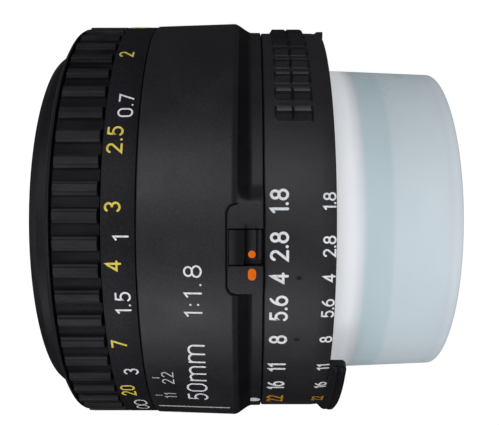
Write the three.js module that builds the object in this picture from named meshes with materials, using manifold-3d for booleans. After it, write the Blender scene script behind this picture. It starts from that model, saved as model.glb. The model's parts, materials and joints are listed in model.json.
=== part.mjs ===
// Prime camera lens, 50 mm f/1.8, with an aperture ring, a focus ring and a translucent rear cap.
// Millimetres, +Z up. The optical axis lies along X with the front of the lens towards +X and the
// index line on top. The origin is the centre of the rear cap's flat end.
//
// Every piece is modelled inside the group `lens`, whose own frame is:
//   y  along the optical axis towards the front, with y = 0 on the bayonet's seat face,
//   z  towards the index line,
//   a dial angle, in degrees, runs from +z towards +x.
import * as THREE from 'three';
import { mergeVertices } from 'three/addons/utils/BufferGeometryUtils.js';
import Module from 'manifold-3d';

const wasm = await Module();
wasm.setup();

// ---- Driving dimensions ----
const CAP_LENGTH = 18.5; // rear cap, behind the seat face
const FRONT = 39.0; // seat face to the front rim
const CAP_RADIUS = 24.5;
const BODY_RADIUS = 31.75; // widest part of the barrel cover
const RING_RADIUS = 30.3; // aperture ring
const FOCUS_RADIUS = 31.2; // focus ring and its rubber grip
const FILTER_RADIUS = 27.3; // front filter ring
const APERTURE_SEAM = 8.5; // front edge of the aperture ring
const FOCUS_SEAM = 24.35; // between the barrel cover and the focus ring
const GRIP_BACK = 28.8;
const GRIP_FRONT = 35.1;
const FOCUS_FRONT = 35.8;
const SEAT_RADIUS = 27.5; // bayonet seat face
const SEAT_INNER = 25.0; // inside this radius the flange is stepped forward
const SEAT_STEP = 0.3;
const THROAT_RADIUS = 20.6;
const HELICOID_RADIUS = 24.0; // outside of the sliding optical barrel

const GRIP_RIBS = 56;
const GRIP_HEIGHT = 0.5;
const GRIP_BORE = 30.2;
const GRIP_PHASE = -1.65; // degrees, dial of the rib nearest the index line
const GRIP_BLOCK_ROWS = 11;
const GRIP_BLOCK_PITCH = 6.1; // degrees between rows of blocks on the aperture ring
const GRIP_BLOCK_START = 88.6;

const BLADES = 7;
const BLADE_PIVOT_RADIUS = 16.2;
const BLADE_INNER = 11.15; // edge of the fully open aperture
const BLADE_OUTER = 17.2;
const BLADE_SPAN = 80; // degrees of arc that one blade covers
const BLADE_CLOSED = 36.7; // degrees that a blade has swung inwards at f/22
const BLADE_THICKNESS = 0.12;
const BLADE_STEP = 0.3; // blades are stacked at this pitch
const IRIS_BACK = 11.4;

const SHAFT_DIAL = 140; // focus drive shaft
const SHAFT_RADIUS = 25.0; // its distance from the optical axis
const GEAR_MODULE = 0.5;
const PINION_TEETH = 8;
const RING_TEETH = 108; // on a full circle; only the used sector is cut
const GEAR_SECTOR_TEETH = 50;
const GEAR_OUTER = 27.8;

const SCREW_DIALS = [25, 265, 325];
const FOCUS_SCREW_CIRCLE = 27.0;
const FOCUS_SCREW_SEAT = 23.75;
const KEY_DIALS = [60, 240];
const CONTACTS = 5;
const CONTACT_DIAL = -10;
const CONTACT_PITCH = 5;
const CONTACT_CIRCLE = 19.0;
const BAFFLE_SCREW_DIALS = [175, 205];
const BAFFLE_SCREW_CIRCLE = 18.0;
const LUG_DIALS = [30, 150, 270];
const LEVER_DIAL = 112; // stop-down lever at f/22
const APERTURE_TURN = 66.1; // degrees from f/22 to f/1.8
const ARM_DIAL = 262; // aperture ring's arm at f/22
const TONGUE_DIAL = 300; // where the stop-down ring turns the iris
const RIDGE_FROM = -45; // raised coupling ridge on the aperture ring's rear edge
const RIDGE_TO = 21.2;

const POD = { from: 44, to: 65.6, back: 8.6, front: 13.4 }; // lock housing, dial angles and distances
const POD_RADIUS = 31.5;
const POD_ROOF = 31.15; // underside of the roof that the slider passes beneath
const SLIDER = { from: 51.6, to: 59.4, back: 9.0, front: 12.8 };
const SLIDER_RADIUS = 30.9;
const SLIDER_TRAVEL = 2.6; // degrees
const SLIDER_GAP = 0.3;
const TONGUE = { from: 52.6, to: 56.9, back: 9.4, front: 10.6 }; // finger rest on the slider

const OUTER_SEGMENTS = 48;
const INNER_SEGMENTS = 32;
const SMALL_SEGMENTS = 8;
const LENS_SEGMENTS = 24;

// ---- Materials ----
function finish(color, roughness, metalness = 0, opacity = 1) {
  return new THREE.MeshStandardMaterial({ color, roughness, metalness, opacity, transparent: opacity < 1 });
}
const blackShell = finish(0x26272a, 0.55);
const blackInside = finish(0x151516, 0.8);
const rubber = finish(0x1d1f22, 0.75);
const translucent = finish(0xc8d6dc, 0.35, 0, 0.75);
const chromed = finish(0xc9c9c6, 0.3, 1);
const steel = finish(0xa5a7a8, 0.35, 1);
const blackened = finish(0x1c1c1e, 0.45, 0.8);
const aluminium = finish(0x8d8f91, 0.45, 1);
const gold = finish(0xd0a548, 0.3, 1);
const glass = finish(0xdfe8ea, 0.02, 0, 0.35);
const boardGreen = finish(0x1f5b3a, 0.5);
const whitePlastic = finish(0xd8d6cf, 0.5);

// ---- Solids ----
const radians = THREE.MathUtils.degToRad;

function solid(geometry) {
  const bare = geometry.clone();
  bare.deleteAttribute('normal');
  bare.deleteAttribute('uv');
  const merged = mergeVertices(bare, 1e-4);
  const corners = merged.getIndex().array;
  const kept = [];
  for (let i = 0; i < corners.length; i += 3) {
    const [a, b, c] = corners.slice(i, i + 3);
    if (a !== b && b !== c && c !== a) kept.push(a, b, c);
  }
  const vertProperties = merged.getAttribute('position').array;
  return new wasm.Manifold(new wasm.Mesh({ numProp: 3, vertProperties, triVerts: new Uint32Array(kept) }));
}

function geometryOf(manifold) {
  const { vertProperties, triVerts } = manifold.getMesh();
  const geometry = new THREE.BufferGeometry();
  geometry.setAttribute('position', new THREE.BufferAttribute(vertProperties, 3));
  geometry.setIndex(new THREE.BufferAttribute(triVerts, 1));
  geometry.computeVertexNormals();
  return geometry;
}

// A ring or disc turned about the optical axis from a closed outline of [radius, y] points.
function turned(outline, segments = INNER_SEGMENTS) {
  let area = 0;
  outline.forEach(([r, y], i) => {
    const [nextR, nextY] = outline[(i + 1) % outline.length];
    area += r * nextY - nextR * y;
  });
  const ordered = area > 0 ? outline : [...outline].reverse();
  const points = [...ordered, ordered[0]].map(([r, y]) => new THREE.Vector2(r, y));
  return solid(new THREE.LatheGeometry(points, segments));
}

function tube(inner, outer, back, front, segments = INNER_SEGMENTS) {
  return turned([[inner, back], [outer, back], [outer, front], [inner, front]], segments);
}

// A flat shape, drawn with x to the right and z up, raised from y = back to y = front.
function raised(shape, back, front, curveSegments = SMALL_SEGMENTS) {
  const options = { depth: front - back, bevelEnabled: false, curveSegments };
  const geometry = new THREE.ExtrudeGeometry(shape, options);
  geometry.rotateX(Math.PI / 2);
  geometry.translate(0, front, 0);
  return solid(geometry);
}

function sectorShape(inner, outer, from, to) {
  const shape = new THREE.Shape();
  shape.absarc(0, 0, outer, radians(90 - from), radians(90 - to), true);
  shape.absarc(0, 0, inner, radians(90 - to), radians(90 - from), false);
  shape.closePath();
  return shape;
}

function sector(inner, outer, from, to, back, front) {
  const curveSegments = Math.max(2, Math.ceil((to - from) / 7.5));
  return raised(sectorShape(inner, outer, from, to), back, front, curveSegments);
}

// Round stock along the optical axis.
function rod(radius, back, front, segments = SMALL_SEGMENTS) {
  const geometry = new THREE.CylinderGeometry(radius, radius, front - back, segments);
  return solid(geometry).translate([0, (back + front) / 2, 0]);
}

// Round stock along a radius, from one distance to another.
function spoke(radius, inner, outer, segments = SMALL_SEGMENTS) {
  const geometry = new THREE.CylinderGeometry(radius, radius, outer - inner, segments);
  geometry.rotateX(Math.PI / 2);
  return solid(geometry).translate([0, 0, (inner + outer) / 2]);
}

function block(width, back, front, inner, outer) {
  const geometry = new THREE.BoxGeometry(width, front - back, outer - inner);
  return solid(geometry).translate([0, (back + front) / 2, (inner + outer) / 2]);
}

// Turns a piece drawn at the index line round to its dial angle.
function atDial(piece, dial, radius = 0, y = 0) {
  return piece.translate([0, y, radius]).rotate([0, dial, 0]);
}

function join(pieces) {
  return pieces.reduce((whole, piece) => whole.add(piece));
}

// ---- Scene ----
const group = new THREE.Group();
const lens = new THREE.Group();
lens.position.x = CAP_LENGTH;
lens.rotation.z = -Math.PI / 2;
group.add(lens);

function part(name, manifold, material, parent = lens) {
  const mesh = new THREE.Mesh(geometryOf(manifold), material);
  mesh.name = name;
  parent.add(mesh);
  return mesh;
}

// A small piece drawn about its own axis and set at a dial angle, a radius and a height.
function set(mesh, dial, radius, y) {
  mesh.position.set(radius * Math.sin(radians(dial)), y, radius * Math.cos(radians(dial)));
  mesh.rotation.y = radians(dial);
}

// ---- Fixed barrel ----
function barrelCover() {
  const shell = turned([
    [29.6, APERTURE_SEAM + 0.1], [RING_RADIUS + 0.1, APERTURE_SEAM + 0.1], [RING_RADIUS + 0.1, 10.0],
    [BODY_RADIUS, 12.5], [FOCUS_RADIUS + 0.1, FOCUS_SEAM - 0.1], [29.6, FOCUS_SEAM - 0.1],
  ], OUTER_SEGMENTS);
  const pod = sector(29.7, POD_RADIUS, POD.from, POD.to, POD.back, POD.front);
  const front = SLIDER.front + SLIDER_GAP;
  const window = sector(28, 33, SLIDER.from - 0.6, SLIDER.to + 0.4, POD.back - 1, front);
  const tunnelEnd = SLIDER.to + SLIDER_TRAVEL + 0.8;
  const tunnel = sector(28, POD_ROOF, SLIDER.to, tunnelEnd, POD.back - 1, front);
  return shell.add(pod).subtract(window.add(tunnel));
}

function lockSlider() {
  const plate = sector(29.9, SLIDER_RADIUS, SLIDER.from, SLIDER.to, SLIDER.back, SLIDER.front);
  const groove = sector(30.6, 32, TONGUE.from - 0.5, TONGUE.to + 0.5, SLIDER.back - 1, TONGUE.front + 0.5);
  const tongue = sector(30.5, 31.3, TONGUE.from, TONGUE.to, TONGUE.back, TONGUE.front);
  return plate.subtract(groove).add(tongue);
}

function fixedTube() {
  const wall = turned([
    [THROAT_RADIUS + 0.6, 1.8], [28.6, 1.8], [28.6, 8.9], [29.3, 8.9], [29.3, 10.2],
    [27.8, 10.2], [27.8, 3.0], [THROAT_RADIUS + 0.6, 3.0],
  ], OUTER_SEGMENTS);
  const armSlot = sector(26.5, 30, ARM_DIAL - APERTURE_TURN - 9, ARM_DIAL + 9, 3.6, 5.6);
  const shaftHole = atDial(rod(1.9, 0, 5), SHAFT_DIAL, SHAFT_RADIUS);
  const screwHoles = SCREW_DIALS.map((dial) => atDial(rod(0.8, 1, 4), dial, SHAFT_RADIUS));
  return wall.subtract(join([armSlot, shaftHole, ...screwHoles]));
}

function bayonetMount() {
  const flange = turned([
    [THROAT_RADIUS, SEAT_STEP], [SEAT_INNER, SEAT_STEP], [SEAT_INNER, 0], [SEAT_RADIUS, 0],
    [SEAT_RADIUS, 1.5], [THROAT_RADIUS, 1.5],
  ], OUTER_SEGMENTS);
  const throat = tube(THROAT_RADIUS, 21.7, -4.5, 1.0, OUTER_SEGMENTS);
  const lugs = LUG_DIALS.map((dial) => sector(21.2, 23.1, dial - 30, dial + 30, -4.5, -3.0));
  const holes = SCREW_DIALS.map((dial) => atDial(rod(1.65, -1, 0.9).add(rod(0.9, 0, 3)), dial, SHAFT_RADIUS));
  const shaftHole = atDial(rod(1.9, -1, 3), SHAFT_DIAL, SHAFT_RADIUS);
  return join([flange, throat, ...lugs]).subtract(join([...holes, shaftHole]));
}

// A cross-slotted machine screw with its head towards -y and its tip at y = length.
function machineScrew(headRadius, headHeight, shankRadius, length) {
  const head = rod(headRadius, 0, headHeight);
  const shank = rod(shankRadius, headHeight - 0.1, length, 8);
  const slot = block(headRadius * 1.3, -0.2, headHeight * 0.45, -0.18, 0.18);
  return head.add(shank).subtract(slot.add(slot.rotate([0, 90, 0])));
}

function rearBaffle() {
  const disc = turned([
    [15.2, -4.2], [20.3, -4.2], [20.3, -0.5], [19.7, -0.5], [19.7, -3.4], [15.2, -3.4],
  ]);
  const leverSlot = sector(17.2, 19.6, LEVER_DIAL - APERTURE_TURN - 5, LEVER_DIAL + 5, -5, -3);
  const window = sector(17.4, 21, CONTACT_DIAL - 15, CONTACT_DIAL + 15, -5, 0);
  const holes = BAFFLE_SCREW_DIALS.map((dial) => atDial(rod(0.8, -5, 0), dial, BAFFLE_SCREW_CIRCLE));
  return disc.subtract(join([leverSlot, window, ...holes]));
}

function contactBlock() {
  const body = sector(17.8, 20.2, CONTACT_DIAL - 14, CONTACT_DIAL + 14, -4.6, -1.4);
  const holes = contactDials().map((dial) => atDial(rod(0.75, -6, -3, 8), dial, CONTACT_CIRCLE));
  return body.subtract(join(holes));
}

function contactDials() {
  return Array.from({ length: CONTACTS }, (_, i) => CONTACT_DIAL + (i - (CONTACTS - 1) / 2) * CONTACT_PITCH);
}

function circuitBoard() {
  const board = sector(22.8, 27.3, -50, 45, 6.2, 6.9);
  const chip = sector(23.6, 26.4, -22, -8, 6.8, 7.8);
  return board.add(chip);
}

function guideKey() {
  const foot = block(4.0, 7.4, 8.9, 22.6, 27.2);
  const bar = block(3.0, 7.4, 30.0, 22.3, 23.3);
  return foot.add(bar);
}

function helicoidKeeper() {
  return tube(26.3, 29.3, 21.8, 23.4);
}

function shaftBracket() {
  const plate = sector(22.4, 27.4, SHAFT_DIAL - 9, SHAFT_DIAL + 9, 5.6, 6.6);
  return plate.subtract(atDial(rod(1.3, 5, 8), SHAFT_DIAL, SHAFT_RADIUS));
}

function clickSpring() {
  const leaf = sector(27.15, 27.45, 78, 104, 5.2, 7.6);
  const bump = atDial(spoke(0.9, 26.2, 27.3, 8), 91, 0, 6.4);
  return leaf.add(bump);
}

// ---- Aperture ring ----
function gripBlock() {
  const shape = new THREE.Shape();
  shape.moveTo(-1.6, RING_RADIUS - 0.2);
  shape.lineTo(-0.25, RING_RADIUS + 0.6);
  shape.lineTo(0.25, RING_RADIUS + 0.6);
  shape.lineTo(1.6, RING_RADIUS - 0.2);
  shape.closePath();
  const bar = raised(shape, 2.05, 7.05);
  return bar.subtract(block(4, 4.45, 4.85, RING_RADIUS + 0.1, RING_RADIUS + 2));
}

function apertureRing() {
  const band = turned([
    [28.9, 0.6], [29.2, -0.6], [RING_RADIUS - 0.3, -0.6], [RING_RADIUS, -0.2],
    [RING_RADIUS, APERTURE_SEAM - 0.15], [28.9, APERTURE_SEAM - 0.15],
  ], OUTER_SEGMENTS);
  const ridgeRing = turned([
    [29.4, -2.8], [30.9, -2.8], [31.1, -2.4], [31.1, -1.5], [30.2, -0.7], [29.4, -0.5],
  ], OUTER_SEGMENTS);
  const ridge = ridgeRing.intersect(sector(28, 33, RIDGE_FROM, RIDGE_TO, -4, 0));
  const tab = sector(29.4, 30.6, 137, 147, -1.3, -0.1);
  const rows = Array.from({ length: GRIP_BLOCK_ROWS }, (_, i) => GRIP_BLOCK_START + i * GRIP_BLOCK_PITCH);
  const blocks = [...rows, ...rows.map((dial) => dial + 180)].map((dial) => atDial(gripBlock(), dial));
  return join([band, ridge, tab, ...blocks]);
}

function apertureArm() {
  const plate = sector(20.4, 28.75, ARM_DIAL - 4, ARM_DIAL + 4, 4.2, 5.0);
  const fork = sector(20.3, 22, ARM_DIAL - 1.6, ARM_DIAL + 1.6, 3, 6);
  return plate.subtract(fork);
}

// ---- Stop-down ring behind the iris ----
function stopDownRing() {
  const ring = tube(15.9, 19.0, 4.2, 5.0);
  const lever = sector(17.8, 18.9, LEVER_DIAL - 2, LEVER_DIAL + 2, -6.5, 4.6);
  const tongue = sector(18.6, 19.9, TONGUE_DIAL - 3, TONGUE_DIAL + 3, 4.2, 5.0);
  const rail = sector(19.2, 19.9, TONGUE_DIAL - 3, TONGUE_DIAL + 3, 4.2, 19.8);
  const finger = sector(18.6, 21.6, ARM_DIAL - 0.6, ARM_DIAL + 0.6, 4.2, 5.0);
  return join([ring, lever, tongue, rail, finger]);
}

// ---- Focus ring ----
function focusRing() {
  const shell = turned([
    [26.0, 24.6], [28.0, FOCUS_SEAM], [FOCUS_RADIUS, FOCUS_SEAM], [FOCUS_RADIUS, GRIP_BACK - 0.2],
    [29.9, GRIP_BACK - 0.2], [29.9, GRIP_FRONT + 0.2], [30.8, GRIP_FRONT + 0.2], [30.4, FOCUS_FRONT],
    [28.0, FOCUS_FRONT], [28.0, 26.2], [26.0, 26.2],
  ], OUTER_SEGMENTS);
  const holes = SCREW_DIALS.map((dial) => atDial(rod(0.65, 24, 27), dial, FOCUS_SCREW_CIRCLE));
  return shell.subtract(join(holes));
}

function focusGrip() {
  const shape = new THREE.Shape();
  const pitch = 360 / GRIP_RIBS;
  const ribBase = 0.27 * pitch;
  const ribTop = 0.17 * pitch;
  for (let i = 0; i < GRIP_RIBS; i += 1) {
    const corners = [[-ribBase, 0], [-ribTop, GRIP_HEIGHT], [ribTop, GRIP_HEIGHT], [ribBase, 0]];
    corners.forEach(([offset, height]) => {
      const angle = radians(GRIP_PHASE + i * pitch + offset);
      const radius = FOCUS_RADIUS - GRIP_HEIGHT + height;
      const point = [radius * Math.sin(angle), radius * Math.cos(angle)];
      if (i === 0 && offset === -ribBase) shape.moveTo(...point);
      else shape.lineTo(...point);
    });
  }
  shape.closePath();
  const bore = rod(GRIP_BORE, GRIP_BACK - 1, GRIP_FRONT + 1, OUTER_SEGMENTS);
  return raised(shape, GRIP_BACK, GRIP_FRONT).subtract(bore);
}

function internalGear() {
  const pitchRadius = (GEAR_MODULE * RING_TEETH) / 2;
  const tip = pitchRadius - GEAR_MODULE * 0.8;
  const root = pitchRadius + GEAR_MODULE;
  const step = 360 / RING_TEETH;
  const first = SHAFT_DIAL - 5 * step;
  const shape = new THREE.Shape();
  const at = (radius, dial) => [radius * Math.sin(radians(dial)), radius * Math.cos(radians(dial))];
  shape.moveTo(...at(root, first - step));
  for (let i = 0; i < GEAR_SECTOR_TEETH; i += 1) {
    const dial = first + i * step;
    shape.lineTo(...at(root, dial - 0.26 * step));
    shape.lineTo(...at(tip, dial - 0.13 * step));
    shape.lineTo(...at(tip, dial + 0.13 * step));
    shape.lineTo(...at(root, dial + 0.26 * step));
  }
  const last = first + GEAR_SECTOR_TEETH * step;
  shape.lineTo(...at(root, last));
  shape.absarc(0, 0, GEAR_OUTER, radians(90 - last), radians(90 - first + step), false);
  shape.closePath();
  return raised(shape, 10.6, 13.0, 24);
}

function focusHelicoid() {
  const sleeve = turned([
    [24.35, 13.4], [28.1, 13.4], [28.1, 10.8], [28.7, 10.8], [28.7, 14.2], [25.7, 14.2],
    [25.7, 26.5], [27.75, 26.5], [27.75, 27.3], [25.7, 27.3], [25.7, 32.8], [24.35, 32.8],
  ]);
  const holes = SCREW_DIALS.map((dial) => atDial(rod(0.65, 26, 28), dial, FOCUS_SCREW_CIRCLE));
  return sleeve.subtract(join(holes));
}

// ---- Optical unit ----
function opticalBarrel() {
  const body = turned([
    [20.5, 7.0], [21.8, 7.0], [21.8, 14.3], [HELICOID_RADIUS, 14.3], [HELICOID_RADIUS, 32.9],
    [21.4, 32.9], [21.4, 23.3], [20.5, 23.3],
  ], INNER_SEGMENTS);
  const slots = KEY_DIALS.map((dial) => atDial(block(3.6, 6, 31.5, 22.0, 26), dial));
  return body.subtract(join(slots));
}

function filterRing() {
  return turned([
    [26.4, 27.7], [FILTER_RADIUS, 27.7], [FILTER_RADIUS, 38.0], [26.3, FRONT], [25.7, FRONT], [25.7, 34.5],
    [24.5, 33.9], [21.9, 33.9], [21.9, 33.2], [26.4, 33.2],
  ], OUTER_SEGMENTS);
}

function nameRing() {
  return turned([[16.2, 31.0], [25.3, 35.9], [25.3, 36.6], [24.9, 36.6], [16.2, 31.9]]);
}

function frontCell() {
  return turned([
    [11.4, 15.2], [18.8, 15.2], [18.8, 23.6], [21.1, 23.6], [21.1, 24.9], [18.8, 24.9], [17.4, 29.6],
    [15.9, 29.6], [15.9, 25.0], [14.6, 25.0], [14.6, 20.2], [12.6, 16.2], [11.4, 16.2],
  ], LENS_SEGMENTS);
}

// Points along a spherical surface from one radius to another; sag bulges towards +y.
function surface(y, sphere, from, to, steps = 2) {
  const sag = (r) => y - Math.sign(sphere) * (Math.abs(sphere) - Math.sqrt(sphere * sphere - r * r));
  return Array.from({ length: steps + 1 }, (_, i) => {
    const r = from + ((to - from) * i) / steps;
    return [r, sag(r)];
  });
}

function element(radius, backY, backSphere, frontY, frontSphere) {
  const back = surface(backY, backSphere, 0, radius);
  const front = surface(frontY, frontSphere, radius, 0);
  const points = [...back, ...front].map(([r, y]) => new THREE.Vector2(r, y));
  return solid(new THREE.LatheGeometry(points, LENS_SEGMENTS));
}

function irisHousing() {
  const back = IRIS_BACK - 0.5;
  return turned([
    [11.6, back], [18.7, back], [18.7, 14.9], [17.9, 14.9], [17.9, IRIS_BACK], [11.6, IRIS_BACK],
  ], LENS_SEGMENTS);
}

function irisCamRing() {
  const ring = tube(12.0, 18.6, IRIS_BACK - 1.6, IRIS_BACK - 0.8);
  const fork = sector(18.2, 20.2, TONGUE_DIAL - 8, TONGUE_DIAL + 8, IRIS_BACK - 1.6, IRIS_BACK - 0.8);
  const gap = sector(18.9, 21, TONGUE_DIAL - 3.9, TONGUE_DIAL + 3.9, IRIS_BACK - 2, IRIS_BACK);
  return ring.add(fork).subtract(gap);
}

function irisBlade() {
  const shape = new THREE.Shape();
  const middle = (BLADE_INNER + BLADE_OUTER) / 2;
  const half = (BLADE_OUTER - BLADE_INNER) / 2;
  const tip = radians(90 - BLADE_SPAN);
  const root = radians(90 + 4);
  shape.absarc(0, 0, BLADE_OUTER, root, tip, true);
  shape.absarc(middle * Math.cos(tip), middle * Math.sin(tip), half, tip, tip - Math.PI, true);
  shape.absarc(0, 0, BLADE_INNER, tip, root, false);
  shape.closePath();
  return raised(shape, 0, BLADE_THICKNESS, 5).translate([0, 0, -BLADE_PIVOT_RADIUS]);
}

function rearCell() {
  return turned([
    [12.2, -5.6], [14.4, -5.6], [14.9, -4.6], [14.9, 9.4], [11.4, 9.4], [11.4, 6.8], [12.7, 6.8],
    [12.7, -4.9], [12.2, -4.9],
  ], LENS_SEGMENTS);
}

function retainer(inner, outer, back, front) {
  const ring = tube(inner, outer, back, front, LENS_SEGMENTS);
  const notch = block(1.2, front - 0.4, front + 1, inner - 1, outer + 1);
  return ring.subtract(notch.add(notch.rotate([0, 180, 0])));
}

// ---- Focus drive ----
function driveShaft() {
  const shaft = join([rod(1.0, 0.4, 10.2), rod(1.55, 0.4, 2.6)]);
  return shaft.subtract(block(4, 0, 1.2, -0.35, 0.35));
}

function drivePinion() {
  const pitchRadius = (GEAR_MODULE * PINION_TEETH) / 2;
  const step = (2 * Math.PI) / PINION_TEETH;
  const shape = new THREE.Shape();
  for (let i = 0; i < PINION_TEETH; i += 1) {
    const profile = [[-0.25, -1], [-0.12, 0.7], [0.12, 0.7], [0.25, -1]];
    profile.forEach(([turn, addendum]) => {
      const angle = (i + 0.5 + turn) * step;
      const radius = pitchRadius + addendum * GEAR_MODULE;
      const point = [radius * Math.sin(angle), radius * Math.cos(angle)];
      if (i === 0 && turn === -0.25) shape.moveTo(...point);
      else shape.lineTo(...point);
    });
  }
  shape.closePath();
  return raised(shape, 10.5, 12.8);
}

// ---- Rear cap ----
function rearCap() {
  return turned([
    [0, -CAP_LENGTH], [23.6, -CAP_LENGTH], [23.9, -CAP_LENGTH + 0.3], [CAP_RADIUS, -2.4],
    [CAP_RADIUS, -0.4], [23.45, -0.4], [23.45, -6.0], [22.9, -6.6], [22.5, -CAP_LENGTH + 1.6],
    [22.0, -CAP_LENGTH + 1.1], [0, -CAP_LENGTH + 1.1],
  ], OUTER_SEGMENTS);
}

// ---- Assembly ----
part('barrel_cover', barrelCover(), blackShell);
part('lock_slider', lockSlider(), blackShell);
part('fixed_tube', fixedTube(), blackInside);
part('bayonet_mount', bayonetMount(), chromed);
part('rear_baffle', rearBaffle(), blackInside);
part('contact_block', contactBlock(), blackInside);
part('circuit_board', circuitBoard(), boardGreen);
part('helicoid_keeper', helicoidKeeper(), aluminium);
part('shaft_bracket', shaftBracket(), steel);
part('click_spring', clickSpring(), steel);
SCREW_DIALS.forEach((dial, i) => {
  const mountScrew = part(`mount_screw_${i + 1}`, machineScrew(1.35, 0.6, 0.5, 2.6), steel);
  set(mountScrew, dial, SHAFT_RADIUS, 0.2);
  const focusScrew = part(`focus_screw_${i + 1}`, machineScrew(0.75, 0.55, 0.35, 3.0), steel);
  set(focusScrew, dial, FOCUS_SCREW_CIRCLE, FOCUS_SCREW_SEAT);
});
BAFFLE_SCREW_DIALS.forEach((dial, i) => {
  const baffleScrew = part(`baffle_screw_${i + 1}`, machineScrew(0.5, 0.4, 0.5, 2.2), blackened);
  set(baffleScrew, dial, BAFFLE_SCREW_CIRCLE, -4.3);
});
contactDials().forEach((dial, i) => {
  set(part(`contact_pin_${i + 1}`, rod(0.45, -4.9, -3.3, 8), gold), dial, CONTACT_CIRCLE, 0);
});
KEY_DIALS.forEach((dial, i) => part(`guide_key_${i + 1}`, atDial(guideKey(), dial), steel));

part('aperture_ring', apertureRing(), blackShell);
part('aperture_arm', apertureArm(), steel);
part('stop_down_ring', stopDownRing(), steel);

part('focus_ring', focusRing(), blackShell);
part('focus_grip', focusGrip(), rubber);
part('focus_helicoid', focusHelicoid(), aluminium);
part('focus_gear', internalGear(), whitePlastic);
set(part('drive_shaft', driveShaft(), steel), SHAFT_DIAL, SHAFT_RADIUS, 0);
set(part('drive_pinion', drivePinion(), whitePlastic), SHAFT_DIAL, SHAFT_RADIUS, 0);

part('optical_barrel', opticalBarrel(), aluminium);
part('filter_ring', filterRing(), blackShell);
part('name_ring', nameRing(), blackInside);
part('front_cell', frontCell(), blackened);
part('front_retainer', retainer(14.0, 15.6, 29.5, 30.1), blackened);
part('lens_1', element(15.5, 26.0, 200, 29.6, 45), glass);
part('lens_2', element(14.2, 22.2, 60, 25.3, 28), glass);
part('lens_3', element(12.2, 20.1, 22, 21.2, 60), glass);
part('iris_housing', irisHousing(), blackened);
part('iris_cam_ring', irisCamRing(), steel);
part('rear_cell', rearCell(), blackened);
part('lens_4', element(10.9, 7.0, 200, 8.2, -22), glass);
part('lens_5', element(12.3, 1.6, -24, 6.7, 200), glass);
part('lens_6', element(12.3, -4.2, -60, 1.2, 60), glass);
for (let i = 0; i < BLADES; i += 1) {
  const station = new THREE.Group();
  const dial = (360 / BLADES) * i;
  set(station, dial, BLADE_PIVOT_RADIUS, IRIS_BACK + 0.3 + i * BLADE_STEP);
  lens.add(station);
  const blade = part(`iris_blade_${i + 1}`, irisBlade(), blackened, station);
  blade.rotation.y = radians(BLADE_CLOSED);
}

part('rear_cap', rearCap(), translucent);

export default group;
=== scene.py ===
"""Looks of a prime camera lens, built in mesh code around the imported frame.

Lengths are in millimetres until point() turns them into metres. A place on the lens is given by its
radius, its dial angle (degrees from the index line, towards the camera side) and v, the distance in
front of the bayonet's seat face.
"""
import json
import math

import bmesh
import bpy
from mathutils import Matrix, Vector


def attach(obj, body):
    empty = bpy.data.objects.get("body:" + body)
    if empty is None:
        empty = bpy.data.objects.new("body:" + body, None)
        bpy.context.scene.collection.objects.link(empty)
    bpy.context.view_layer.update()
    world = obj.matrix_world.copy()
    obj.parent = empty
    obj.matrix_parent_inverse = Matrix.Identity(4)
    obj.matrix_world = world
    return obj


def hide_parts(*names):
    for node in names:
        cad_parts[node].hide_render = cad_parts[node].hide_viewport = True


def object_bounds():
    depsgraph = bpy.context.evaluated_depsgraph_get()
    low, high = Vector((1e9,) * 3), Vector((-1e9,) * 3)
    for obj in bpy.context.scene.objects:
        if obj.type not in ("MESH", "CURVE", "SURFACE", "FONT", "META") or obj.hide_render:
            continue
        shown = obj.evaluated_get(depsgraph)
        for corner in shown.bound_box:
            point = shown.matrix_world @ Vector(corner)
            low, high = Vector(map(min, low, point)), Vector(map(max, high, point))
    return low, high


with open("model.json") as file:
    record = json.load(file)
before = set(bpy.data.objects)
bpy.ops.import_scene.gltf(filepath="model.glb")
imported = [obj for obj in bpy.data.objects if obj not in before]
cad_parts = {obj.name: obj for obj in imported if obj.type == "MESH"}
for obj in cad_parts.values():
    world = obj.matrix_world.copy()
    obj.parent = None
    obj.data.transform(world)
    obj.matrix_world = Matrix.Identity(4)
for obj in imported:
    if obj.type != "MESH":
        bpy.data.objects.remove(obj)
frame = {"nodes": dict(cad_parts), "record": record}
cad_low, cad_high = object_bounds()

MM = 0.001
MOUNTS = {mount["name"]: mount for mount in frame["record"]["mounts"]}
SEAT_X = MOUNTS["lens_seat"]["pos_m"][0]
CAP_END = -SEAT_X / MM
FRONT = (MOUNTS["front_rim"]["pos_m"][0] - SEAT_X) / MM

# Fixed barrel
BODY_RADIUS, BARREL_FRONT_RADIUS, REAR_RING_RADIUS = 31.75, 31.35, 30.4
COVER_BORE = 29.65
APERTURE_SEAM, FOCUS_SEAM = 8.5, 24.35
TAPER_BACK, TAPER_FRONT = 10.0, 12.5
DOT_V, DOT_RADIUS = 9.75, 1.05

# Lock pod on the barrel, with the slot and the tunnel that the slider moves in
POD_RADIUS, POD_CORNER = 31.5, 1.3
POD_FROM, POD_TO, POD_BACK, POD_FRONT = 44.4, 65.3, 8.6, 13.15
POD_RAMP_TO = 70.5
GROOVE_DEPTH, GROOVE_HALF = 0.28, 0.11
SLOT_FROM, SLOT_TO, SLOT_FRONT, SLOT_FLOOR = 51.2, 59.8, 12.95, 29.85
TUNNEL_TO, TUNNEL_ROOF = 62.6, 31.36

# Lock slider
SLIDER_TOP, SLIDER_BOTTOM, SLIDER_STEP = 31.28, 29.95, 0.55
SLIDER_FROM, SLIDER_TO, SLIDER_BACK, SLIDER_FRONT = 51.3, 59.5, 8.85, 12.9
TONGUE_FROM, TONGUE_BACK, TONGUE_FRONT = 52.6, 9.46, 10.54
RAIL_FRONT, PLATE_BACK = 9.2, 10.87

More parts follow.
